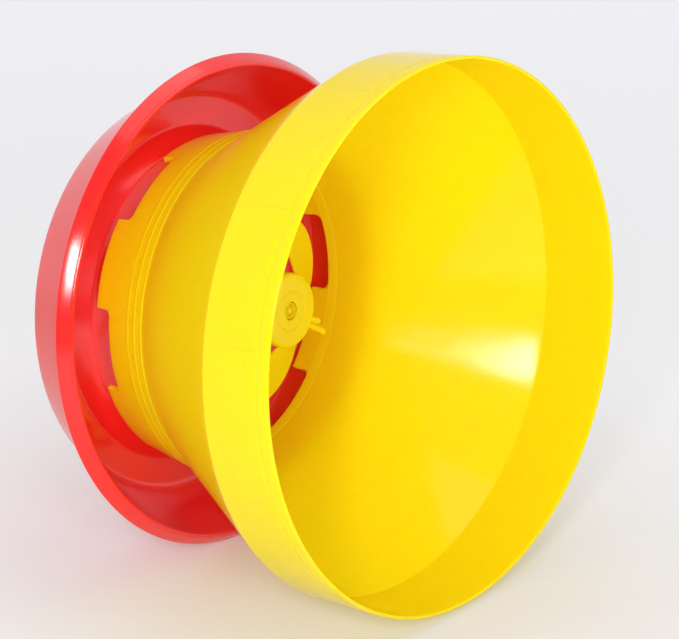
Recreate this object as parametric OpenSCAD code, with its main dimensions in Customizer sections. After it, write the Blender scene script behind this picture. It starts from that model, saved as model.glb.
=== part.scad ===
// Round gravity feeder: a dish that stands on the floor, a cone hopper with a
// castellated outlet, and a three-armed spider that carries the hopper on a
// screwed column. Turning the nut under the spider sets the feed gap.

/* [Hopper] */
// Height of the hopper's rim above the floor
overall_h = 252; // [235:1:300]
// Outside diameter of the hopper's rim
mouth_d = 380; // [360:1:420]
// Outside diameter at the foot of the straight collar
collar_foot_d = 376; // [340:1:400]
// Height of the straight collar
collar_h = 55.5; // [30:0.5:80]
// Outside diameter where the cone meets the neck
neck_d = 251; // [244:1:270]
// Outside diameter at the outlet edge
outlet_d = 233; // [228:1:240]
// Height of the neck from the outlet edge to the cone
neck_h = 51; // [44:0.5:60]
// Wall of the hopper, measured across
hopper_wall = 2.6; // [2:0.1:4]
// Height from the rim down to the fine groove round the collar
rim_line_drop = 10; // [6:0.5:16]
// Depth of the fine groove round the collar
rim_line_depth = 0.5; // [0.3:0.1:0.8]

/* [Outlet] */
// Number of tabs round the outlet
tab_count = 6; // [3:3:9]
// Width of one tab as an angle
tab_angle = 31; // [24:0.5:34]
// Height of the notches between the tabs
notch_h = 13.5; // [8:0.5:16]
// Corner radius of a notch
notch_corner_r = 4; // [2:0.5:6]
// Number of fine rings round the neck
ring_count = 3; // [1:1:4]
// Height from the neck's top down to the first ring
first_ring_drop = 2.5; // [2:0.1:5]
// Distance from one ring to the next
ring_pitch = 7.2; // [5:0.1:9]
// How far a ring stands out of the neck
ring_proud = 0.9; // [0.4:0.1:1.2]

/* [Pan] */
// Outside diameter of the pan's lip
pan_d = 350.6; // [340:0.2:380]
// Diameter of the pan's mouth inside the lip
pan_mouth_d = 332.8; // [320:0.2:340]
// Height of the pan
pan_h = 63; // [56:0.5:80]
// How far the lip slopes down outside
lip_drop = 9; // [6:0.5:14]
// Diameter of the ring that the pan stands on
base_d = 281; // [270:1:300]
// Thickness of the pan's sheet
pan_wall = 2.8; // [2:0.1:4]
// Height of the trough's floor above the ground
trough_z = 9.8; // [8:0.1:14]
// Diameter of the trough's inner edge
skirt_d = 240; // [234:1:246]
// Diameter of the plateau inside the trough
plateau_d = 214; // [200:1:220]
// Height of the plateau above the trough
plateau_h = 12.5; // [8:0.5:16]
// Diameter of the column's seat
seat_d = 66; // [60:1:90]
// Rise from the plateau's edge to the column's seat
seat_rise = 5.7; // [3:0.1:8]

/* [Feed gap] */
// Gap from the trough's floor to the outlet edge, fully open
feed_gap = 25.7; // [24:0.1:32]
// How far the hopper can be screwed down
gap_travel = 12; // [6:0.5:14]

/* [Column] */
// Diameter of the column's thread
column_d = 30; // [26:0.5:32]
// Diameter of the column's flange
flange_d = 56; // [52:1:60]
// Thickness of the column's flange
flange_t = 7; // [6:0.5:9]
// Diameter of the circle of flange screws
flange_pcd = 42; // [40:1:44]
// Diameter of a flange screw
flange_screw_d = 4; // [3:0.5:5]
// Number of flange screws
flange_screw_count = 3; // [3:1:6]

/* [Spider] */
// Diameter of the hub's head
hub_d = 53; // [48:0.5:56]
// Height of the hub's face above the floor
hub_top_z = 111; // [108:0.5:130]
// Height of the hub's head
head_h = 13; // [10:0.5:16]
// Radius of the head's rounded edge
head_edge_r = 3; // [2:0.5:6]
// Diameter of the hub's sleeve
sleeve_d = 44; // [42:0.5:47]
// Number of petals and arms
petal_count = 3; // [2:1:4]
// Distance from the axis to a petal's tip
petal_reach = 74; // [60:1:90]
// Radius of a petal's round end
petal_tip_r = 23; // [18:0.5:26]
// Thickness of a petal
petal_t = 2.2; // [1.6:0.1:3.5]
// Height of a petal at the hub, below the hub's face
petal_root_drop = 3; // [2:0.5:6]
// Height of a petal's tip, below the hub's face
petal_tip_drop = 35.5; // [30:0.5:42]
// Radius of the petals' dished curve
petal_bend_r = 195; // [150:5:400]
// Thickness of an arm
arm_t = 4; // [3:0.5:6]
// Height of an arm at the hub
arm_root_h = 16; // [10:1:20]
// Height of the band that seats in the neck
band_h = 6; // [5:0.5:9]
// Thickness of the band
band_t = 2.2; // [1.5:0.1:3]
// Width of the ledge that carries the band
ledge_w = 1.2; // [0.8:0.1:2]
// Diameter of a stirring peg
peg_d = 5; // [4:0.5:6]
// Distance from the axis to a short peg's end
short_peg_reach = 42; // [34:0.5:46]
// Distance from the axis to a long peg's end
long_peg_reach = 63; // [54:1:74]
// Height of the short pegs below the hub's face
short_peg_drop = 7.2; // [7:0.1:9]
// Height of the long pegs below the hub's face
long_peg_drop = 17; // [14:0.5:20]
// How far the long pegs are turned from the short pegs
long_peg_turn = -4.5; // [-10:0.5:10]

/* [Adjuster] */
// Diameter of the gap nut across its lobes
nut_d = 54; // [50:1:58]
// Height of the gap nut
nut_h = 10; // [8:0.5:11]
// Number of lobes on the gap nut
nut_lobes = 6; // [4:1:8]
// Thickness of the thrust washer
thrust_t = 2; // [1.5:0.1:3]
// Wall of the hub's bush
bush_wall = 3; // [2:0.5:3]

/* [Retaining screw] */
// Diameter of the retaining screw
screw_d = 8; // [6:0.5:8]
// Diameter of the screw's head
screw_head_d = 12; // [11.4:0.1:12.4]
// Height of the screw's head
screw_head_h = 7; // [6:0.1:7.4]
// Width of the hexagon socket across its flats
socket_af = 9; // [7:0.5:9.5]
// Depth of the recess for the screw's head
recess_depth = 9; // [9:0.5:10]
// Diameter of the recess
recess_d = 13; // [13:0.2:14]
// Thickness of the screw's washer
washer_t = 1; // [0.8:0.1:1.5]

/* [Fits] */
// Radial clearance of the turning journal
run_gap = 0.05; // [0.02:0.01:0.1]
// Clearance between pieces that move past each other
part_gap = 0.3; // [0.2:0.05:0.5]
// Clearance between pieces that are fixed together
seat_gap = 0.02; // [0.01:0.01:0.1]

/* [Hidden] */
$fn = 96;
cut = 1;
arc_steps = 8;

// Heights of the hopper
outlet_z = trough_z + feed_gap;
neck_top_z = outlet_z + neck_h;
collar_foot_z = overall_h - collar_h;
ledge_over_notch = 1;
ledge_z = outlet_z + notch_h + ledge_over_notch;
rim_r = hopper_wall / 2;
rim_line_z = overall_h - rim_line_drop;

// Heights of the pan
plateau_z = trough_z + plateau_h;
seat_z = plateau_z + seat_rise;
trough_corner_r = 5.6;

// Heights along the column, from the floor up
flange_top_z = seat_z + flange_t;
nut_z = flange_top_z + gap_travel + 2 * part_gap;
thrust_z = nut_z + nut_h + part_gap;
sleeve_z = thrust_z + thrust_t + part_gap;
recess_z = hub_top_z - recess_depth;
web_t = 5;
ceiling_z = recess_z - web_t;
column_top_z = ceiling_z - gap_travel - 2 * part_gap;
washer_z = recess_z + part_gap;
screw_head_z = washer_z + washer_t;
screw_grip = 18;
screw_tip_z = column_top_z - screw_grip;
bush_r = column_d / 2 + run_gap + bush_wall;

// The petals lie on a dished surface that is an arc in section, turned about the axis
root_depth = 1.5;
petal_root = [hub_d / 2 - root_depth, hub_top_z - petal_root_drop];
petal_tip = [petal_reach, hub_top_z - petal_tip_drop];
petal_chord = petal_tip - petal_root;
petal_half = norm(petal_chord) / 2;
petal_up = [-petal_chord[1], petal_chord[0]] / norm(petal_chord);
petal_sag = sqrt(petal_bend_r * petal_bend_r - petal_half * petal_half);
petal_bend = (petal_root + petal_tip) / 2 + petal_up * petal_sag;
sleeve_root_r = sleeve_d / 2 - root_depth;
petal_first_angle = 30;

// Outside radius of the neck at a height
function neck_r(z) = (outlet_d + (neck_d - outlet_d) * (z - outlet_z) / neck_h) / 2;

// Outside radius of the collar at a height
function collar_r(z) =
    (collar_foot_d + (mouth_d - collar_foot_d) * (z - collar_foot_z) / (collar_h - rim_r)) / 2;

// Points of an arc about a centre, from one angle to another
function arc(centre, r, from, to) =
    [for (i = [0 : arc_steps])
        let (a = from + (to - from) * i / arc_steps)
            centre + r * [cos(a), sin(a)]];

// Points along the middle of the petals' section, from one radius to another
function petal_line(from, to) =
    let (r = petal_bend_r + petal_t / 2)
        [for (i = [0 : arc_steps])
            let (x = from + (to - from) * i / arc_steps)
                [x, petal_bend[1] - sqrt(r * r - (x - petal_bend[0]) * (x - petal_bend[0]))]];

// A path pushed sideways by d, with mitred corners
function unit(v) = v / norm(v);
function left(v) = [-v[1], v[0]];
function pushed(path, d) =
    let (n = len(path) - 1)
        [for (i = [0 : n])
            let (before = left(unit(path[max(i, 1)] - path[max(i, 1) - 1])),
                 after = left(unit(path[min(i, n - 1) + 1] - path[min(i, n - 1)])),
                 middle = unit(before + after))
                path[i] + middle * d / (middle * before)];
function reversed(list) = [for (i = [len(list) - 1 : -1 : 0]) list[i]];

// A sheet of even thickness along a path
module sheet(path, t) {
    polygon(concat(pushed(path, t / 2), reversed(pushed(path, -t / 2))));
}

// Copies round the axis
module around(count, first = 0) {
    for (i = [0 : count - 1])
        rotate([0, 0, first + i * 360 / count])
            children();
}

// The dish: trough, wall and lip are one sheet, and the wall runs down to a ring to stand on
pan_wall_lean = (pan_mouth_d / 2 + pan_wall - base_d / 2) / pan_h;
wall_angle = atan2(1, pan_wall_lean);
function wall_outside(z) = base_d / 2 + pan_wall_lean * z;
function wall_inside(z) = wall_outside(z) - pan_wall / sin(wall_angle);
trough_arc_centre = [wall_inside(trough_z + trough_corner_r) - trough_corner_r / sin(wall_angle),
    trough_z + trough_corner_r];
lip_edge_r = 1.2;
lip_centre = [pan_mouth_d / 2 + lip_edge_r, pan_h - lip_edge_r];
lip_outer = [pan_d / 2, pan_h - lip_drop];
lip_angle = atan2(lip_centre[1] - lip_outer[1], lip_outer[0] - lip_centre[0])
    + asin(lip_edge_r / norm(lip_outer - lip_centre));
lip_under = lip_outer - pan_wall * [sin(lip_angle), cos(lip_angle)];
lip_width = (lip_under[0] - wall_outside(lip_under[1])) / (cos(lip_angle) + pan_wall_lean * sin(lip_angle));
lip_root = lip_under + lip_width * [-cos(lip_angle), sin(lip_angle)];

pan_middle = [
    [0, seat_z],
    [seat_d / 2, seat_z],
    [plateau_d / 2, plateau_z],
    [skirt_d / 2, trough_z]];
pan_section = concat(
    pan_middle,
    arc(trough_arc_centre, trough_corner_r, 270, 270 + wall_angle),
    arc(lip_centre, lip_edge_r, 90 + wall_angle, 90 - lip_angle),
    [lip_outer, lip_under, lip_root, [base_d / 2, 0], [base_d / 2 - pan_wall, 0]],
    reversed(pushed(concat(pan_middle, [[base_d / 2 - pan_wall, trough_z]]), -pan_wall)));

module feed_pan() {
    color("red")
    difference() {
        rotate_extrude()
            polygon(pan_section);
        around(flange_screw_count)
            translate([flange_pcd / 2, 0, seat_z - pan_wall - cut])
                cylinder(d = flange_screw_d + part_gap, h = pan_wall + 2 * cut);
    }
}

// Screwed column with a flange, fixed on the pan's seat
flange_skin = 1;
module centre_column() {
    chamfer = 1.5;
    color("firebrick")
    difference() {
        rotate_extrude()
            polygon([[0, seat_z], [flange_d / 2, seat_z], [flange_d / 2, flange_top_z - chamfer],
                [flange_d / 2 - chamfer, flange_top_z], [column_d / 2, flange_top_z],
                [column_d / 2, column_top_z - chamfer], [column_d / 2 - chamfer, column_top_z],
                [0, column_top_z]]);
        translate([0, 0, screw_tip_z - cut])
            cylinder(d = screw_d + 2 * seat_gap, h = screw_grip + 2 * cut);
        around(flange_screw_count)
            translate([flange_pcd / 2, 0, seat_z - cut])
                cylinder(d = flange_screw_d + 2 * seat_gap, h = flange_t - flange_skin + cut);
    }
}

// Pan-head screws that hold the column from under the pan
module column_screws() {
    head_h = 0.6 * flange_screw_d;
    head_d = 1.9 * flange_screw_d;
    tip_gap = 1;
    color("silver")
    around(flange_screw_count)
        translate([flange_pcd / 2, 0, seat_z - pan_wall]) {
            translate([0, 0, -head_h])
                cylinder(d = head_d, h = head_h);
            cylinder(d = flange_screw_d, h = pan_wall + flange_t - flange_skin - tip_gap);
        }
}

// Moulded socket-head screw that keeps the hopper on the column
module retaining_screw() {
    socket_depth = 0.6 * screw_head_h;
    color("gold")
    difference() {
        union() {
            translate([0, 0, screw_head_z])
                cylinder(d = screw_head_d, h = screw_head_h);
            translate([0, 0, screw_tip_z])
                cylinder(d = screw_d, h = screw_head_z - screw_tip_z);
        }
        translate([0, 0, screw_head_z + screw_head_h - socket_depth])
            cylinder(d = socket_af / cos(30), h = socket_depth + cut, $fn = 6);
    }
}

module screw_washer() {
    color("silver")
    difference() {
        translate([0, 0, washer_z])
            cylinder(d = recess_d - 2 * part_gap, h = washer_t);
        translate([0, 0, washer_z - cut])
            cylinder(d = screw_d + part_gap, h = washer_t + 2 * cut);
    }
}

// Plain washer between the nut and the spider, which rises with the nut
module thrust_washer() {
    color("white")
    difference() {
        translate([0, 0, thrust_z])
            cylinder(d = sleeve_d, h = thrust_t);
        translate([0, 0, thrust_z - cut])
            cylinder(d = column_d + 2 * run_gap, h = thrust_t + 2 * cut);
    }
}

// Lobed hand nut on the column's thread
module gap_nut() {
    lobe_r = nut_d / 10;
    color("gold")
    difference() {
        translate([0, 0, nut_z])
            linear_extrude(nut_h) {
                circle(d = nut_d - lobe_r);
                around(nut_lobes)
                    translate([nut_d / 2 - lobe_r, 0])
                        circle(lobe_r);
            }
        translate([0, 0, nut_z - cut])
            cylinder(d = column_d + 2 * run_gap, h = nut_h + 2 * cut);
    }
}

// Section of the hopper: outlet, neck, cone, collar and rounded rim
hopper_outside = [
    [outlet_d / 2, outlet_z],
    [neck_d / 2, neck_top_z],
    [collar_foot_d / 2, collar_foot_z],
    [mouth_d / 2, overall_h - rim_r]];
hopper_inside = concat(
    [for (i = [len(hopper_outside) - 1 : -1 : 1]) hopper_outside[i] - [hopper_wall, 0]],
    [[neck_r(ledge_z) - hopper_wall, ledge_z],
     [neck_r(ledge_z) - hopper_wall - ledge_w, ledge_z],
     [outlet_d / 2 - hopper_wall - ledge_w, outlet_z]]);

// A notch seen from outside, open below, with round upper corners
module notch_shape() {
    width = outlet_d * sin(180 / tab_count - tab_angle / 2);
    translate([-width / 2, -cut])
        square([width, notch_h + cut - notch_corner_r]);
    translate([-width / 2 + notch_corner_r, -cut])
        square([width - 2 * notch_corner_r, notch_h + cut]);
    for (side = [-1, 1])
        translate([side * (width / 2 - notch_corner_r), notch_h - notch_corner_r])
            circle(notch_corner_r);
}

module hopper() {
    tab_first_angle = petal_first_angle;
    color("yellow")
    difference() {
        union() {
            rotate_extrude()
                polygon(concat(hopper_outside, hopper_inside));
            rotate_extrude()
                translate([mouth_d / 2 - rim_r, overall_h - rim_r])
                    circle(rim_r);
            for (i = [0 : ring_count - 1]) {
                ring_z = neck_top_z - first_ring_drop - i * ring_pitch;
                rotate_extrude()
                    translate([neck_r(ring_z), ring_z])
                        circle(ring_proud);
            }
        }
        rotate_extrude()
            translate([collar_r(rim_line_z), rim_line_z])
                circle(rim_line_depth);
        around(tab_count, tab_first_angle + 180 / tab_count)
            translate([outlet_d / 4, 0, outlet_z])
                rotate([90, 0, 90])
                    linear_extrude(outlet_d / 2)
                        notch_shape();
    }
}

// Section of the hub: rounded head over a sleeve
hub_section = concat(
    [[0, sleeve_z], [sleeve_d / 2, sleeve_z], [sleeve_d / 2, hub_top_z - head_h],
     [hub_d / 2, hub_top_z - head_h + (hub_d - sleeve_d) / 2]],
    arc([hub_d / 2 - head_edge_r, hub_top_z - head_edge_r], head_edge_r, 0, 90),
    [[0, hub_top_z]]);

// Petals: a dished shell cut to rounded paddles
module petals() {
    tip_centre = petal_reach - petal_tip_r;
    half_angle = asin(petal_tip_r / tip_centre);
    side = tip_centre * cos(half_angle);
    intersection() {
        rotate_extrude()
            sheet(petal_line(petal_root[0] - root_depth, petal_reach + petal_t), petal_t);
        around(petal_count, petal_first_angle)
            linear_extrude(overall_h) {
                translate([tip_centre, 0])
                    circle(petal_tip_r);
                polygon([[0, 0], side * [cos(half_angle), -sin(half_angle)], [tip_centre, 0],
                    side * [cos(half_angle), sin(half_angle)]]);
            }
    }
}

// One arm: a tapered rib from the foot of the sleeve to the band in the neck
band_r = neck_r(ledge_z) - hopper_wall - seat_gap;
band_top_r = band_r + neck_r(band_h) - neck_r(0);
band_edge = 0.6;
module arm() {
    knee = [petal_reach, ledge_z + 1.8 * band_h];
    toe_w = 4 * band_t;
    rotate([90, 0, 0])
        translate([0, 0, -arm_t / 2])
            linear_extrude(arm_t)
                polygon([[sleeve_root_r, sleeve_z], [sleeve_root_r, sleeve_z + arm_root_h], knee,
                    [band_top_r - band_edge / 2, ledge_z + band_h], [band_r - band_t / 2, ledge_z],
                    [band_r - toe_w, ledge_z]]);
}

// A stirring peg with a round end
module peg(reach, z) {
    peg_r = peg_d / 2;
    translate([sleeve_root_r, 0, z])
        rotate([0, 90, 0])
            rotate_extrude()
                polygon(concat([[0, 0], [peg_r, 0]],
                    arc([0, reach - sleeve_root_r - peg_r], peg_r, 0, 90)));
}

module hopper_spider() {
    groove_r = 14;
    groove_t = 0.7;
    color("yellow")
    difference() {
        union() {
            rotate_extrude()
                polygon(hub_section);
            petals();
            around(petal_count, petal_first_angle)
                arm();
            around(petal_count, petal_first_angle + 180 / petal_count) {
                peg(short_peg_reach, hub_top_z - short_peg_drop);
                rotate([0, 0, long_peg_turn])
                    peg(long_peg_reach, hub_top_z - long_peg_drop);
            }
            rotate_extrude()
                polygon([[band_r - band_t, ledge_z], [band_r, ledge_z],
                    [band_top_r, ledge_z + band_h], [band_top_r - band_edge, ledge_z + band_h],
                    [band_r - band_t, ledge_z + band_edge]]);
        }
        translate([0, 0, sleeve_z - cut])
            cylinder(r = bush_r + seat_gap, h = ceiling_z - sleeve_z + cut);
        translate([0, 0, ceiling_z - cut])
            cylinder(d = screw_d + 2 * part_gap, h = web_t + 2 * cut);
        translate([0, 0, recess_z])
            cylinder(d = recess_d, h = recess_depth + cut);
        rotate_extrude()
            translate([groove_r, hub_top_z])
                circle(groove_t);
    }
}

// Plain bush in the hub, which turns and slides on the column
module hub_bush() {
    color("white")
    difference() {
        translate([0, 0, sleeve_z])
            cylinder(r = bush_r, h = ceiling_z - sleeve_z);
        translate([0, 0, sleeve_z - cut])
            cylinder(d = column_d + 2 * run_gap, h = ceiling_z - sleeve_z + 2 * cut);
    }
}

feed_pan();
centre_column();
column_screws();
retaining_screw();
screw_washer();
thrust_washer();
gap_nut();
hopper();
hopper_spider();
hub_bush();
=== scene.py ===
import bmesh
import bpy
import numpy as np
from mathutils import Matrix


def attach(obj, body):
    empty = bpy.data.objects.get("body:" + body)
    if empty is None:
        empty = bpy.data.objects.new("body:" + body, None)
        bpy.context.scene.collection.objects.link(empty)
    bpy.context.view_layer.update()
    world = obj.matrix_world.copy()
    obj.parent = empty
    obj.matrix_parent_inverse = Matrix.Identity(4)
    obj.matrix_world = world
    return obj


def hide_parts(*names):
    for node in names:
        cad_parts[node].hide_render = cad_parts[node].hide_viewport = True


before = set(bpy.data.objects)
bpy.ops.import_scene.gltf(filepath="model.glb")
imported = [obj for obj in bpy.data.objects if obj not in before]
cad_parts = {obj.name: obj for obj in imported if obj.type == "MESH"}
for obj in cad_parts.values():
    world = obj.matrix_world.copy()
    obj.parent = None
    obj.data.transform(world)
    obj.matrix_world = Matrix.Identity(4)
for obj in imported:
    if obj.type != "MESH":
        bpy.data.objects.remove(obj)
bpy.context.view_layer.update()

# Camera
# The feeder stands upright in this frame, and the photograph shows it lying on its side. The
# camera is rolled over by the same turn and looks into the mouth from its open side.
camera_place = np.array([1.36896, 0.96368, 1.47309])
camera_ahead = np.array([-0.64232, -0.45225, -0.61879])
camera_top = np.array([0.65592, -0.74200, -0.13857])
camera_data = bpy.data.cameras.new("photo_camera")
camera_data.sensor_width = 36
camera_data.lens = 164.443
camera_data.clip_end = 30
camera = bpy.data.objects.new("photo_camera", camera_data)
camera_pose = np.eye(4)
camera_pose[:3] = np.column_stack((np.cross(camera_ahead, camera_top), camera_top, -camera_ahead, camera_place))
camera.matrix_world = Matrix(camera_pose.tolist())
scene = bpy.context.scene
scene.collection.objects.link(camera)
scene.camera = camera
scene.view_settings.view_transform = "Standard"

# Table
# A plain white table top. The pan's lip and the foot of the hopper's collar lie on it, as in the
# photograph, so it leans beside the upright feeder, just clear of the collar, which can slide 12 mm
# down. It fades out at its edge. Near the feeder it gives diffuse rays a painted glow, a fixed warm
# light in place of its real bounce, so the feeder's contact shade stays light.
feeder_middle = np.array([0, 0, 0.126])
table_up = np.array([0.82970, -0.54973, 0.09684])
table_depth = 0.16935  # from the frame's origin to the table
table_middle = feeder_middle - table_up * (feeder_middle @ table_up + table_depth)
table_along = np.cross(table_up, (0, 0, 1))
table_along /= np.linalg.norm(table_along)


class Wire:
    """An output of a shader node: an operator adds a Math node, and node adds any other one."""

    def __init__(self, tree, output=None):
        self.tree = tree
        self.output = output

    def node(self, kind, settings=None, inputs=None, output=0):
        """A node of that kind: settings first, then the values or wires of its inputs."""
        made = self.tree.nodes.new(kind)
        for key, value in (settings or {}).items():
            if key == "stops":
                while len(made.color_ramp.elements) < len(value):
                    made.color_ramp.elements.new(1)
                for element, (place, colour) in zip(made.color_ramp.elements, value):
                    element.position = place
                    element.color = (*colour, 1)
            else:
                setattr(made, key, value)
        for key, value in (inputs or {}).items():
            if isinstance(value, Wire):
                self.tree.links.new(value.output, made.inputs[key])
            else:
                made.inputs[key].default_value = value
        return Wire(self.tree, made.outputs[output] if made.outputs else None)

    def math(self, operation, *others):
        """A Math node on this value and any others."""
        return self.node("ShaderNodeMath", {"operation": operation}, dict(enumerate((self, *others))))

    def __add__(self, other):
        return self.math("ADD", other)

    __radd__ = __add__

    def __sub__(self, other):
        return self.math("SUBTRACT", other)

    def __rsub__(self, other):
        return self.node("ShaderNodeMath", {"operation": "SUBTRACT"}, {0: other, 1: self})

    def __mul__(self, other):
        return self.math("MULTIPLY", other)

    __rmul__ = __mul__

    def between(self, low, high):
        """0 below low and 1 above high, with a smooth rise."""
        return self.node("ShaderNodeMapRange", {"interpolation_type": "SMOOTHSTEP"},
                         {"Value": self, "From Min": low, "From Max": high})

    def blend(self, low, high):
        """The colour between two, by this value: low at 0 and high at 1."""
        return self.node("ShaderNodeMix", {"data_type": "RGBA"}, {"Factor": self, 6: low, 7: high}, 2)

    def choose(self, low, high):
        """The mix of two shaders, by this value: low at 0 and high at 1."""
        return self.node("ShaderNodeMixShader", None, {0: self, 1: low, 2: high})


def blank(name):
    """A material with an empty node tree, and the wire that its nodes start from."""
    material = bpy.data.materials.new(name)
    material.use_nodes = True
    material.node_tree.nodes.clear()
    return material, Wire(material.node_tree)


def grid_faces(rows, columns, closed_rows=False):
    """Quads of a grid whose columns close on themselves: (i, j), (i, j+1), (i+1, j+1), (i+1, j)."""
    index = np.arange(rows * columns).reshape(rows, columns)
    above = np.roll(index, -1, axis=0)
    if not closed_rows:
        index, above = index[:-1], above[:-1]
    return np.stack((index, np.roll(index, -1, 1), np.roll(above, -1, 1), above), -1).reshape(-1, 4)


def mesh_object(name, parts, material, sharp=38):
    """One smooth object from parts, each an array of points in metres and a list of faces.

    Points that fall together, as at a pole, are merged, and edges sharper than the angle stay sharp.
    """
    starts = np.cumsum([0] + [len(points) for points, _ in parts])
    faces = [[int(corner) + start for corner in face]
             for (_, part), start in zip(parts, starts) for face in part]
    mesh = bpy.data.meshes.new(name)
    mesh.from_pydata(np.concatenate([points for points, _ in parts]).tolist(), [], faces)
    work = bmesh.new()
    work.from_mesh(mesh)
    bmesh.ops.remove_doubles(work, verts=work.verts, dist=2e-7)
    work.to_mesh(mesh)
    work.free()
    mesh.polygons.foreach_set("use_smooth", np.ones(len(mesh.polygons), bool))
    mesh.set_sharp_from_angle(angle=np.radians(sharp))
    mesh.materials.append(material)
    made = bpy.data.objects.new(name, mesh)
    scene.collection.objects.link(made)
    return made


white_table, bare = blank("white_table")
where = bare.node("ShaderNodeTexCoord", output="Object")
away = bare.node("ShaderNodeVectorMath", {"operation": "DISTANCE"},
                 {0: where, 1: tuple(table_middle)}, "Value")
hidden = away.between(0.55, 1.7).math("MAXIMUM", bare.node("ShaderNodeNewGeometry", output="Backfacing"))
grain = bare.node("ShaderNodeTexNoise", None, {"Vector": where, "Scale": 9.0, "Detail": 3.0}, "Fac")
paint = bare.node("ShaderNodeValToRGB", {"stops": [(0.3, (0.86, 0.86, 0.875)), (0.7, (0.88, 0.878, 0.89))]},
                  {"Fac": grain}, "Color")
# Painted glow: near the feeder the table gives diffuse rays a fixed warm light instead of its shaded bounce,
# which lifts the feeder's contact shade.
painted_bounce_glow = bare.node("ShaderNodeLightPath", output="Is Diffuse Ray") * (1 - away.between(0.08, 0.3))
looked_at = bare.node("ShaderNodeLightPath", output="Is Camera Ray") * (away.between(0.12, 0.5) * 0.5 + 0.14)
table_face_and_glow = painted_bounce_glow.choose(bare.node("ShaderNodeBsdfDiffuse", None, {"Color": paint}),
                          bare.node("ShaderNodeEmission", None, {"Color": (0.6, 0.58, 0.5, 1)}))
table_face_and_glow = looked_at.choose(table_face_and_glow, bare.node("ShaderNodeEmission", None, {"Color": (0.95, 0.945, 0.965, 1)}))
bare.node("ShaderNodeOutputMaterial", None, {
    "Surface": hidden.choose(table_face_and_glow, bare.node("ShaderNodeBsdfTransparent"))})
table_turn = np.linspace(0, 2 * np.pi, 96, endpoint=False)[:, None]
table_reach = np.linspace(2.2, 0, 12)[:, None, None]
table_ray = np.cos(table_turn) * table_along + np.sin(table_turn) * np.cross(table_up, table_along)
table_points = (table_middle + table_reach * table_ray).reshape(-1, 3)
table = mesh_object("table", [(table_points, grid_faces(12, 96))], white_table)

# Light
# A pale room with a white wall behind the feeder, a wide soft lamp overhead, two plain fills that
# reach into the mouth, and two small lamps that leave the bright spots.
room = bpy.data.worlds.new("pale_room")
room.use_nodes = True
room.node_tree.nodes.clear()
scene.world = room
air = Wire(room.node_tree)
seen, mirrored_in, through = [air.node("ShaderNodeLightPath", output=name)
                              for name in ("Is Camera Ray", "Is Glossy Ray", "Is Transmission Ray")]
ahead, under = [
    air.node("ShaderNodeVectorMath", {"operation": "DOT_PRODUCT"},
             {0: air.node("ShaderNodeTexCoord", output="Generated"), 1: way}, "Value").between(-0.2, 0.7)
    for way in (tuple(-camera_ahead), (0, 0, -1))]
wall_colour = (0.868, 0.862, 0.9, 1)
shine = air.node("ShaderNodeBackground", None, {
    "Color": (1, 0.99, 0.98, 1), "Strength": 0.555 - ahead * 0.25 + under * 0.42})
walls = air.node("ShaderNodeBackground", None, {"Color": wall_colour, "Strength": 1 - ahead * 0.72})
backdrop = air.node("ShaderNodeBackground", None, {"Color": wall_colour, "Strength": 1})
unseen = mirrored_in.math("MAXIMUM", through).choose(shine, walls)
air.node("ShaderNodeOutputWorld", None, {"Surface": seen.choose(unseen, backdrop)})


def soft_lamp(name, place, width, height, watts, mirrored=True):
    """A flat oval lamp at a place, whose face looks at the feeder's middle. Gloss may leave it out."""
    data = bpy.data.lights.new(name, "AREA")
    data.shape = "ELLIPSE"
    data.size, data.size_y, data.energy = width, height, watts
    lamp = bpy.data.objects.new(name, data)
    back = np.array(place) - feeder_middle
    back /= np.linalg.norm(back)
    across = np.cross(table_up, back)
    across /= np.linalg.norm(across)
    pose = np.eye(4)
    pose[:3] = np.column_stack((across, np.cross(back, across), back, place))
    lamp.matrix_world = Matrix(pose.tolist())
    lamp.visible_camera = False
    lamp.visible_glossy = mirrored
    scene.collection.objects.link(lamp)


soft_lamp("overhead_lamp", (0.99, -1.06, 0.52), 1.3, 1.3, 3.8)
soft_lamp("left_lamp", (1.50, 0.98, 1.14), 0.17, 0.68, 11.5)
soft_lamp("right_lamp", (1.68, 0.90, 1.41), 0.2, 0.26, 3.5)
soft_lamp("fill_lamp", (1.06, 0.80, 1.88), 1.0, 0.8, 19, False)
soft_lamp("low_lamp", (0.30, 1.60, 1.45), 1.0, 0.6, 13, False)

# Feed pan
# A dish of glossy red plastic, moulded in one shot: a raised middle, a trough, a leaning wall and
# a broad lip that slopes outward. It stands on a narrow ring under the trough.
MM = 0.001


def rounded(corners, radii, steps=6):
    """A line of corners with each one replaced by an arc of its radius.

    With u and v the directions from a corner to its neighbours, the arc starts and ends
    r / tan(angle / 2) along them, and its middle lies r / sin(angle / 2) along u + v.
    """
    corners = np.array(corners, float)
    line = [corners[:1]]
    for before, corner, after, r in zip(corners, corners[1:], corners[2:], radii):
        u = (before - corner) / np.linalg.norm(before - corner)
        v = (after - corner) / np.linalg.norm(after - corner)
        half = np.arccos(np.clip(u @ v, -1, 1)) / 2
        middle = corner + r / np.sin(half) * (u + v) / np.linalg.norm(u + v)
        first, last = corner + u * r / np.tan(half) - middle, corner + v * r / np.tan(half) - middle
        sweep = np.arctan2(first[0] * last[1] - first[1] * last[0], first @ last)
        a = np.arctan2(first[1], first[0]) + np.linspace(0, sweep, steps + 1)
        line.append(middle + r * np.column_stack((np.cos(a), np.sin(a))))
    return np.concatenate(line + [corners[-1:]])


def filled_in(line, longest):
    """The same line with points added so that no step is longer than that."""
    counts = np.maximum(1, np.ceil(np.linalg.norm(np.diff(line, axis=0), axis=1) / longest)).astype(int)
    share = np.concatenate([np.arange(n) / n + i for i, n in enumerate(counts)] + [[len(counts)]])
    return np.column_stack([np.interp(share, np.arange(len(line)), line[:, k]) for k in (0, 1)])


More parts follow.
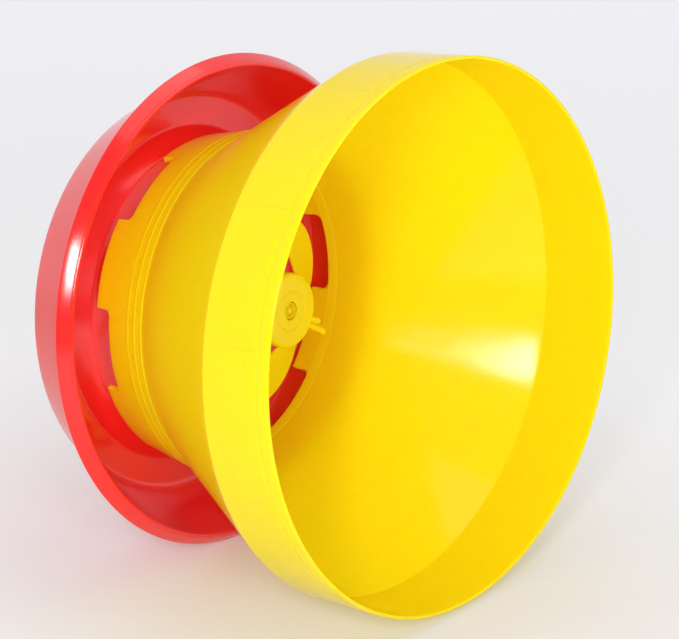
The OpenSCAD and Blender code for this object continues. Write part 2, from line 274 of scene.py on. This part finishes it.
def about_axis(r, a, z):
    """Points in metres at a radius, angle and height, in rows: (r cos a, r sin a, z)."""
    return np.stack(np.broadcast_arrays(r * np.cos(a), r * np.sin(a), z), -1).reshape(-1, 3) * MM


def full_turn(count):
    """That many even angles round the axis."""
    return np.linspace(0, 2 * np.pi, count, endpoint=False)


def lathe(profile, columns=240, closed=False):
    """A profile of (radius, height) turned about the axis, as points and faces."""
    points = about_axis(profile[:, :1], full_turn(columns), profile[:, 1:])
    return points, grid_faces(len(profile), columns, closed)


def plastic(name, colour, deep, roughness, shine, coat=0.0, marks=None, milky=0.0):
    """Moulded plastic: faint turned rings, drag marks and scuffs from the mould, and slow changes of shade.

    The rings are noise over (radius, height) that hardly changes round the axis, the drag marks are
    the same noise turned the other way, and the scuffs are coarser. marks darkens the colour, and
    milky is the share of light that spreads inside the wall.
    """
    material, bare = blank(name)
    place = bare.node("ShaderNodeTexCoord", output="Object")
    x, y, z = [bare.node("ShaderNodeSeparateXYZ", None, {0: place}, axis) for axis in "XYZ"]
    radius = (x * x + y * y).math("SQRT")
    angle = y.math("ARCTAN2", x)

    def noise(outward, upward, round_about, detail, distortion=0.0):
        """Noise over radius, height and angle, each stretched by its own number."""
        vector = bare.node("ShaderNodeCombineXYZ", None, {
            0: radius * outward, 1: z * upward, 2: angle * round_about})
        return bare.node("ShaderNodeTexNoise", None, {
            "Vector": vector, "Scale": 1.0, "Detail": detail, "Distortion": distortion}, "Fac")

    rings = noise(900, 900, 1.3, 2.0)
    drags = noise(7, 7, 170, 3.0)
    scuffs = noise(60, 60, 14, 4.0, 0.4)
    shade = bare.node("ShaderNodeTexNoise", None, {"Vector": place, "Scale": 11.0, "Detail": 2.0}, "Fac")
    tone = shade.between(0.25, 0.75).blend((*deep, 1), (*colour, 1))
    if marks is not None:
        tone = marks(radius, angle, z).blend(tone, (*(0.62 * np.array(deep)), 1))
    bump = bare.node("ShaderNodeBump", None, {
        "Strength": 0.06, "Distance": 0.0003, "Height": rings * 0.6 + drags * 0.8})
    skin = bare.node("ShaderNodeBsdfPrincipled", None, {
        "Base Color": tone, "Roughness": scuffs.between(0.35, 0.8) * 0.06 + roughness, "Normal": bump,
        "IOR": 1.5, "Specular IOR Level": shine, "Coat Weight": coat, "Coat Roughness": 0.16,
        "Subsurface Weight": milky, "Subsurface Radius": tuple(colour), "Subsurface Scale": 0.004})
    bare.node("ShaderNodeOutputMaterial", None, {"Surface": skin})
    return material


red_plastic = plastic("red_plastic", (0.92, 0.016, 0.014), (0.90, 0.014, 0.012), 0.14, 0.5, 0.4, milky=0.1)
pan_line = rounded(
    [(0, 25.2), (32.9, 25.2), (105.8, 19.6), (118.9, 7), (137.7, 7), (137.7, 0), (140.5, 0), (167.5, 59.3),
     (173.1, 52.3), (175.3, 54), (169.6, 61.2), (169.1, 61.4), (169.05, 61.9), (167.3, 64.06), (141.9, 9.8),
     (120, 9.8), (107, 22.3), (33, 28), (0, 28)],
    [3, 4, 4, 0.8, 0.5, 0.7, 1.2, 0.8, 0.9, 0.12, 0.12, 0.12, 1.2, 5.6, 4, 4, 3])
pan = mesh_object("feed_pan_skin", [lathe(filled_in(pan_line, 6))], red_plastic)
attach(pan, "base")
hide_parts("feed_pan")

# Centre column
# A red moulded post on the pan's seat, with a flange at its foot and a coarse round thread cut
# into it, six millimetres to a turn. The gap nut runs on it.
thread_lead, thread_depth, thread_rows = 6, 1.5, 200
post_turn = full_turn(144)
post_z = np.concatenate(([28, 28, 34, 35, 35], np.linspace(35.6, 83.2, thread_rows), [84.4, 84.4]))[:, None]
post_out = np.concatenate(([0, 28, 28, 27, 15], np.full(thread_rows, 15), [13.8, 0]))[:, None]
wave = 0.5 - 0.5 * np.cos(2 * np.pi * (post_z / thread_lead - post_turn / (2 * np.pi)))
cut_in = np.zeros(post_z.shape)
cut_in[5:-2] = np.clip((post_z[5:-2] - 36) / 3, 0, 1)
post_points = about_axis(post_out - thread_depth * cut_in * wave ** 2, post_turn, post_z)
post_faces = grid_faces(len(post_z), len(post_turn))
post = mesh_object("centre_column_skin", [(post_points, post_faces)], red_plastic)
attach(post, "base")
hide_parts("centre_column")

# Column screws
# Three zinc-plated steel screws with rounded pan heads. They pass up through the pan's raised middle
# and hold the post by its flange.


def speckled(name, scale, dark, light, roughness, metallic=0.0):
    """A plain material whose fine noise moves its colour between two shades and roughens it by 0.2."""
    material, bare = blank(name)
    place = bare.node("ShaderNodeTexCoord", output="Object")
    speck = bare.node("ShaderNodeTexNoise", None, {"Vector": place, "Scale": scale, "Detail": 3.0}, "Fac")
    skin = bare.node("ShaderNodeBsdfPrincipled", None, {
        "Base Color": speck.blend((*dark, 1), (*light, 1)), "Metallic": metallic,
        "Roughness": speck * 0.2 + roughness})
    bare.node("ShaderNodeOutputMaterial", None, {"Surface": skin})
    return material


steel = speckled("zinc_steel", 900.0, (0.48, 0.48, 0.49), (0.68, 0.68, 0.7), 0.25, metallic=1.0)
screw_line = rounded([(0, 22.8), (3.8, 22.8), (3.8, 25.2), (2, 25.2), (2, 33), (0, 33)], [1.7, 0.2, 0.2, 0.5])
screw_points, screw_faces = lathe(screw_line, 40)
screw_places = about_axis(21, full_turn(3), 0)
screws = mesh_object("column_screws_skin", [(screw_points + place, screw_faces) for place in screw_places], steel)
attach(screws, "base")
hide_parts("column_screws")

# Gap nut
# A yellow plastic hand nut with six round lobes, moulded in one piece. It runs on the post's
# thread and lifts and lowers the hopper.
yellow = (0.95, 0.74, 0.006), (0.94, 0.72, 0.005)
yellow_plastic = plastic("yellow_plastic", *yellow, 0.2, 0.24)
nut_foot, nut_top, bore_r, body_r, lobe_r, lobe_middle = 47.6, 57.6, 15.06, 24.3, 5.4, 21.6
nut_line = rounded([(-12, nut_foot), (0, nut_foot), (0, nut_top), (-12, nut_top)], [1.2, 1.2])
nut_turn = full_turn(216)
lobe_turn = (nut_turn + np.pi / 6) % (np.pi / 3) - np.pi / 6
lobe_edge = lobe_middle * np.cos(lobe_turn) + np.sqrt(
    np.maximum(0, lobe_r ** 2 - (lobe_middle * np.sin(lobe_turn)) ** 2))
on_lobe = np.abs(lobe_turn) < np.arcsin(lobe_r / lobe_middle)
nut_edge = np.where(on_lobe, np.maximum(body_r, lobe_edge), body_r)
nut_r = np.concatenate((np.maximum(nut_edge + nut_line[:, :1], bore_r), np.full((2, len(nut_turn)), bore_r)))
nut_z = np.concatenate((nut_line[:, 1:], [[nut_top], [nut_foot]]))
nut_faces = grid_faces(len(nut_z), len(nut_turn), True)
nut = mesh_object("gap_nut_skin", [(about_axis(nut_r, nut_turn, nut_z), nut_faces)], yellow_plastic)
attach(nut, "nut")
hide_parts("gap_nut")

# Washers and bush
# A thrust washer between nut and hub and a bush in the hub, both of natural nylon, and a steel
# washer under the retaining screw. They keep their solids' shapes.
nylon = speckled("natural_nylon", 120.0, (0.74, 0.72, 0.65), (0.82, 0.81, 0.75), 0.4)
for name, material in (("thrust_washer", nylon), ("hub_bush", nylon), ("screw_washer", steel)):
    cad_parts[name].data.materials.clear()
    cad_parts[name].data.materials.append(material)

# Hopper
# One thin-walled moulding in glossy yellow plastic: a neck with three fine rings, a cone and a
# straight collar with a groove under its rounded rim. Six notches are cut up from the outlet.
outlet_z, notch_top, ledge_z, neck_top, collar_foot, groove_z, rim_z = 35.5, 49.0, 50, 86.5, 196.5, 242, 250.7
outlet_r, around_r, collar_r, neck_slope, collar_slope = 116.5, 117.0, 188, 9 / 51, 2 / 54.2
wall, foot_wall, rim_round = 2.6, 3.8, 1.3
outer_seam, inner_seam = 62, 49.4  # heights where the turned wall meets the castellated edge


def weld_lines(radius, angle, z):
    """Two faint upright lines over each notch, 16 degrees from its middle, outside the collar only."""
    step = (angle * (6 / (2 * np.pi)) + 20.5).math("FRACT")
    aside = (step - 0.5).math("ABSOLUTE") * 60
    line = 1 - (aside - 16).math("ABSOLUTE").between(0.04, 0.2)
    outer = (radius - z * collar_slope).between(0.1795, 0.1800)
    return line * outer * z.between(0.200, 0.236) * (1 - z.between(0.2395, 0.2412)) * 0.3


def neck_out(z):
    """Outside radius of the neck at a height: it widens evenly from the outlet."""
    return outlet_r + neck_slope * (z - outlet_z)


def swell(offset, width, height):
    """A rounded ridge across a profile: height times the squared cosine of its share of the width."""
    return height * np.cos(np.pi * offset / width) ** 2


yellow_hopper = plastic("yellow_hopper_plastic", *yellow, 0.10, 0.24, marks=weld_lines, milky=0.5)

# The castellated edge, unrolled as distance round and height: half a notch and half a tab, mirrored
half_step = around_r * np.pi / 6
notch_side = around_r * np.radians(14.4)
half_edge = filled_in(rounded(
    [(0, notch_top), (notch_side, notch_top), (notch_side, outlet_z), (half_step, outlet_z)], [4, 1.0], 7), 2.2)
other_half = np.column_stack((2 * half_step - half_edge[::-1, 0], half_edge[::-1, 1]))
one_step = np.concatenate((half_edge, other_half[1:-1]))
edge = np.concatenate([one_step + (2 * half_step * k, 0) for k in range(6)])
whole_turn = 12 * half_step
point_after, point_before = np.roll(edge, -1, 0), np.roll(edge, 1, 0)
point_after[-1, 0] += whole_turn
point_before[0, 0] -= whole_turn
along = point_after - point_before
inward = np.column_stack((-along[:, 1], along[:, 0])) / np.linalg.norm(along, axis=1)[:, None]
run = np.concatenate(([0], np.cumsum(np.linalg.norm(point_after - edge, axis=1))))
even_turn = run[:-1] / run[-1] * 2 * np.pi

# Rows of the wall above the notches, outside upwards and inside downwards, as radius and height
outside = filled_in(rounded(
    [(neck_out(outer_seam), outer_seam), (125.5, neck_top), (collar_r, collar_foot), (190, rim_z)], [12, 1.4]), 7)
ring_z = np.array([69.6, 76.8, 84.0])
ring_step = np.linspace(-1.2, 1.2, 15)
ring_rows = [np.column_stack((neck_out(z + ring_step) + swell(ring_step, 2.4, 0.34), z + ring_step))
             for z in ring_z]
groove_step = np.linspace(-1.7, 1.7, 9)
groove_row_z = groove_z + groove_step
groove_rows = np.column_stack((
    collar_r + collar_slope * (groove_row_z - collar_foot) - swell(groove_step, 3.4, 0.4), groove_row_z))
near_ring = (np.abs(outside[:, 1:] - ring_z) < 1.5).any(1)
near_groove = np.abs(outside[:, 1] - groove_z) <= 1.9
outside = np.concatenate((outside[~near_ring & ~near_groove], *ring_rows, groove_rows))
outside = outside[np.argsort(outside[:, 1])]
over_rim = np.radians(np.linspace(0, 180, 11))
rim = np.column_stack((188.7 + rim_round * np.cos(over_rim), rim_z + rim_round * np.sin(over_rim)))
inside = filled_in(rounded(
    [(187.4, rim_z), (185.4, collar_foot), (122.9, neck_top), (neck_out(ledge_z) - wall, ledge_z),
     (neck_out(ledge_z) - foot_wall, ledge_z), (neck_out(inner_seam) - foot_wall, inner_seam)],
    [2.5, 60, 0.3, 0.3]), 7)
upper = np.concatenate((outside[:-1], rim, inside[1:]))

# Rows of the castellated edge: depth is the distance up from the edge, and into is through the wall
edge_round = 0.6
curve = np.radians(np.linspace(0, 90, 5))
into = np.concatenate((foot_wall - edge_round * (1 - np.cos(curve)), edge_round * (1 - np.cos(curve[::-1]))))
depth = edge_round * (1 - np.sin(np.concatenate((curve, curve[::-1]))))
lip_a = (edge[:, 0] + depth[:, None] * inward[:, 0]) / around_r
lip_z = edge[:, 1] + depth[:, None] * inward[:, 1]
lip_r = neck_out(lip_z) - into[:, None]
rise = np.linspace(0, 1, 6)[1:-1, None]
in_a, in_z = [low[:1] + rise[::-1] * (high - low[:1]) for low, high in ((lip_a, even_turn), (lip_z, inner_seam))]
out_a, out_z = [low[-1:] + rise * (high - low[-1:]) for low, high in ((lip_a, even_turn), (lip_z, outer_seam))]
wide = (len(upper), len(edge))
hopper_a = np.concatenate((np.broadcast_to(even_turn, wide), in_a, lip_a, out_a))
hopper_z = np.concatenate((np.broadcast_to(upper[:, 1:], wide), in_z, lip_z, out_z))
hopper_r = np.concatenate((
    np.broadcast_to(upper[:, :1], wide), neck_out(in_z) - foot_wall, lip_r, neck_out(out_z)))
hopper_faces = grid_faces(*hopper_a.shape, True)
hopper = mesh_object("hopper_skin", [(about_axis(hopper_r, hopper_a, hopper_z), hopper_faces)], yellow_hopper)
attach(hopper, "hopper")
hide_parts("hopper")

# Spider
# The yellow moulding inside the neck: a hub on the column, three dished petals that throw the feed
# outward, arms from the hub's foot to a band on the hopper's ledge, and stirring pegs.
hub_line = rounded(
    [(18.07, 61), (18.07, 60.2), (22, 60.2), (22, 98), (26.5, 102.5), (26.5, 111), (14.9, 111.2), (14, 110.5),
     (13.1, 111.2), (8.8, 111.2), (8.4, 110.8), (8, 111.2), (6.5, 111.1), (6.5, 102), (4.3, 102), (4.3, 97),
     (18.07, 97), (18.07, 61.2)],
    [0.3, 0.8, 2, 2, 3, 0.5, 0.3, 0.5, 0.3, 0.2, 0.3, 0.6, 0.2, 0.2, 0.2, 0.2])
spider_parts = [lathe(filled_in(hub_line, 4), 144, True)]

# A petal along X in plan: two straight sides that flare from the hub, and a round tip
petal_t, petal_start, petal_reach, tip_r, bend_r = 2.2, 23.5, 74.0, 23.0, 195.0
tip_x = petal_reach - tip_r
flare = np.arcsin(tip_r / tip_x)
straight = np.linspace(petal_start, tip_x * np.cos(flare), 14)[:-1, None] * (np.cos(flare), np.sin(flare))
tip_turn = np.linspace(np.pi / 2 + flare, 0, 30)
tip = np.column_stack((tip_x + tip_r * np.cos(tip_turn), tip_r * np.sin(tip_turn)))
half_petal = np.concatenate((straight, tip))
petal_edge = np.concatenate((half_petal, half_petal[-2::-1] * (1, -1)))
spine = np.column_stack((np.minimum(petal_edge[:, 0], tip_x), 0 * petal_edge[:, 0]))
tangent = np.gradient(petal_edge, axis=0)
petal_out = np.column_stack((-tangent[:, 1], tangent[:, 0])) / np.linalg.norm(tangent, axis=1)[:, None]

# Its top, round edge and underside in rows from spine to spine, each moved off the dished middle
half_t = petal_t / 2
from_spine = np.linspace(0, 1, 9)[:, None, None]
edge_turn = np.radians(np.linspace(90, -90, 9))[1:-1, None, None]
inner_edge = petal_edge - half_t * petal_out
plan = np.concatenate((
    spine + from_spine * (inner_edge - spine), inner_edge + half_t * np.cos(edge_turn) * petal_out,
    spine + from_spine[::-1] * (inner_edge - spine)))
level = half_t * np.concatenate((np.ones(9), np.sin(edge_turn[:, 0, 0]), -np.ones(9)))[:, None]
plan *= np.maximum(1, petal_start / np.linalg.norm(plan, axis=-1))[..., None]
plan_r = np.linalg.norm(plan, axis=-1)
root_point, tip_point = np.array([25.0, 108.0]), np.array([petal_reach, 75.5])
chord = tip_point - root_point
lift = np.array([-chord[1], chord[0]]) / np.linalg.norm(chord)
bend_middle = (root_point + tip_point) / 2 + lift * np.sqrt(bend_r ** 2 - chord @ chord / 4)


def petal_height(r):
    """Height of the petals' middle surface at a radius: an arc below its centre, turned about the axis."""
    return bend_middle[1] - np.sqrt((bend_r + half_t) ** 2 - (r - bend_middle[0]) ** 2)


def turned(points, degrees):
    """Points turned about the axis: x' = x cos a - y sin a, y' = x sin a + y cos a."""
    a = np.radians(degrees)
    return points @ np.array([[np.cos(a), np.sin(a), 0], [-np.sin(a), np.cos(a), 0], [0, 0, 1]])


def peg(length, height):
    """A round peg along X from inside the hub, with a half-ball end: a profile turned about X."""
    peg_r, start = 2.5, 20.5
    ball = np.radians(np.linspace(0, 90, 8))
    end = np.column_stack((peg_r * np.cos(ball), length - peg_r + peg_r * np.sin(ball)))
    points, faces = lathe(np.concatenate(([(0, start), (peg_r, start)], end)), 32)
    return points[:, [2, 1, 0]] * (1, -1, 1) + (0, 0, height * MM), faces


petal_z = petal_height(plan_r)
tilt = np.stack((bend_middle[0] - plan_r, bend_middle[1] - petal_z), -1) / (bend_r + half_t)
stretch = 1 + level * tilt[..., 0] / plan_r
petal = np.stack((plan[..., 0] * stretch, plan[..., 1] * stretch, petal_z + level * tilt[..., 1]), -1)
index = np.arange(plan_r.size).reshape(plan_r.shape)
petal_faces = np.stack((index[:-1, :-1], index[1:, :-1], index[1:, 1:], index[:-1, 1:]), -1).reshape(-1, 4)

# An arm along X, as a tapered rib from the hub's sleeve to the band, 4 mm thick
band_r = neck_out(ledge_z) - wall - 0.02
band_h = 6
band_top, band_top_r = ledge_z + band_h, band_r + band_h * neck_slope
arm_line = np.array([(20.5, 60.2), (20.5, 76.2), (petal_reach, 60.8), (band_top_r - 0.3, band_top),
                     (band_r - 0.4, ledge_z), (band_r - 8.8, ledge_z)])
arm_side = np.column_stack((arm_line[:, 0], 0 * arm_line[:, 0], arm_line[:, 1]))
arm_points = np.concatenate((arm_side + (0, 2, 0), arm_side - (0, 2, 0)))
near_side = np.arange(len(arm_line))
far_side, next_near = near_side + len(arm_line), np.roll(near_side, -1)
arm_faces = np.column_stack((near_side, next_near, next_near + len(arm_line), far_side)).tolist()
arm_faces += [near_side[::-1].tolist(), far_side.tolist()]
for petal_turn in (30, 150, 270):
    spider_parts.append((turned(petal.reshape(-1, 3), petal_turn) * MM, petal_faces))
    spider_parts.append((turned(arm_points, petal_turn) * MM, arm_faces))
for peg_turn in (90, 210, 330):
    for (peg_points, peg_faces), aside in ((peg(42, 103.8), 0), (peg(63, 94), -4.5)):
        spider_parts.append((turned(peg_points, peg_turn + aside), peg_faces))
band_line = rounded(
    [(band_r - 0.5, ledge_z), (band_r, ledge_z), (band_top_r, band_top), (band_top_r - 0.6, band_top),
     (band_r - 0.8, ledge_z + 0.6), (band_r - 0.8, ledge_z), (band_r - 0.6, ledge_z)],
    [0.2, 0.2, 0.25, 0.15, 0.15])
spider_parts.append(lathe(band_line, 240, True))
spider = mesh_object("hopper_spider_skin", spider_parts, yellow_plastic)
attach(spider, "hopper")
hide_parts("hopper_spider")

# Retaining screw
# A yellow moulded screw, sunk in the hub's face, that keeps the hopper on the column. Its large
# hexagon socket has a round nub in the middle.
socket_half, socket_foot = 4.5, 106.1
screw_turn = full_turn(144)
hexagon = socket_half / np.cos((screw_turn + np.pi / 6) % (np.pi / 3) - np.pi / 6)
shank = rounded([(0, 66.4), (4, 66.4), (4, 103.3), (6, 103.3), (6, 110.3), (5.5, 110.3)], [0.8, 0.3, 0.3, 0.6])
socket = np.array([(0.25, 110.3), (0.07, 110.23), (0, 110.05), (0, 106.2), (-0.1, socket_foot)])
nub = rounded([(2.6, socket_foot), (2.3, 109.9), (0, 110.1)], [0.9])
flat_turn = 0 * screw_turn
bolt_r = np.concatenate((shank[:, :1] + flat_turn, socket[:, :1] + hexagon, nub[:, :1] + flat_turn))
bolt_z = np.concatenate((shank[:, 1:], socket[:, 1:], nub[:, 1:]))
bolt_faces = grid_faces(*bolt_r.shape)
bolt = mesh_object("retaining_screw_skin", [(about_axis(bolt_r, screw_turn, bolt_z), bolt_faces)], yellow_plastic)
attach(bolt, "base")
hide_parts("retaining_screw")
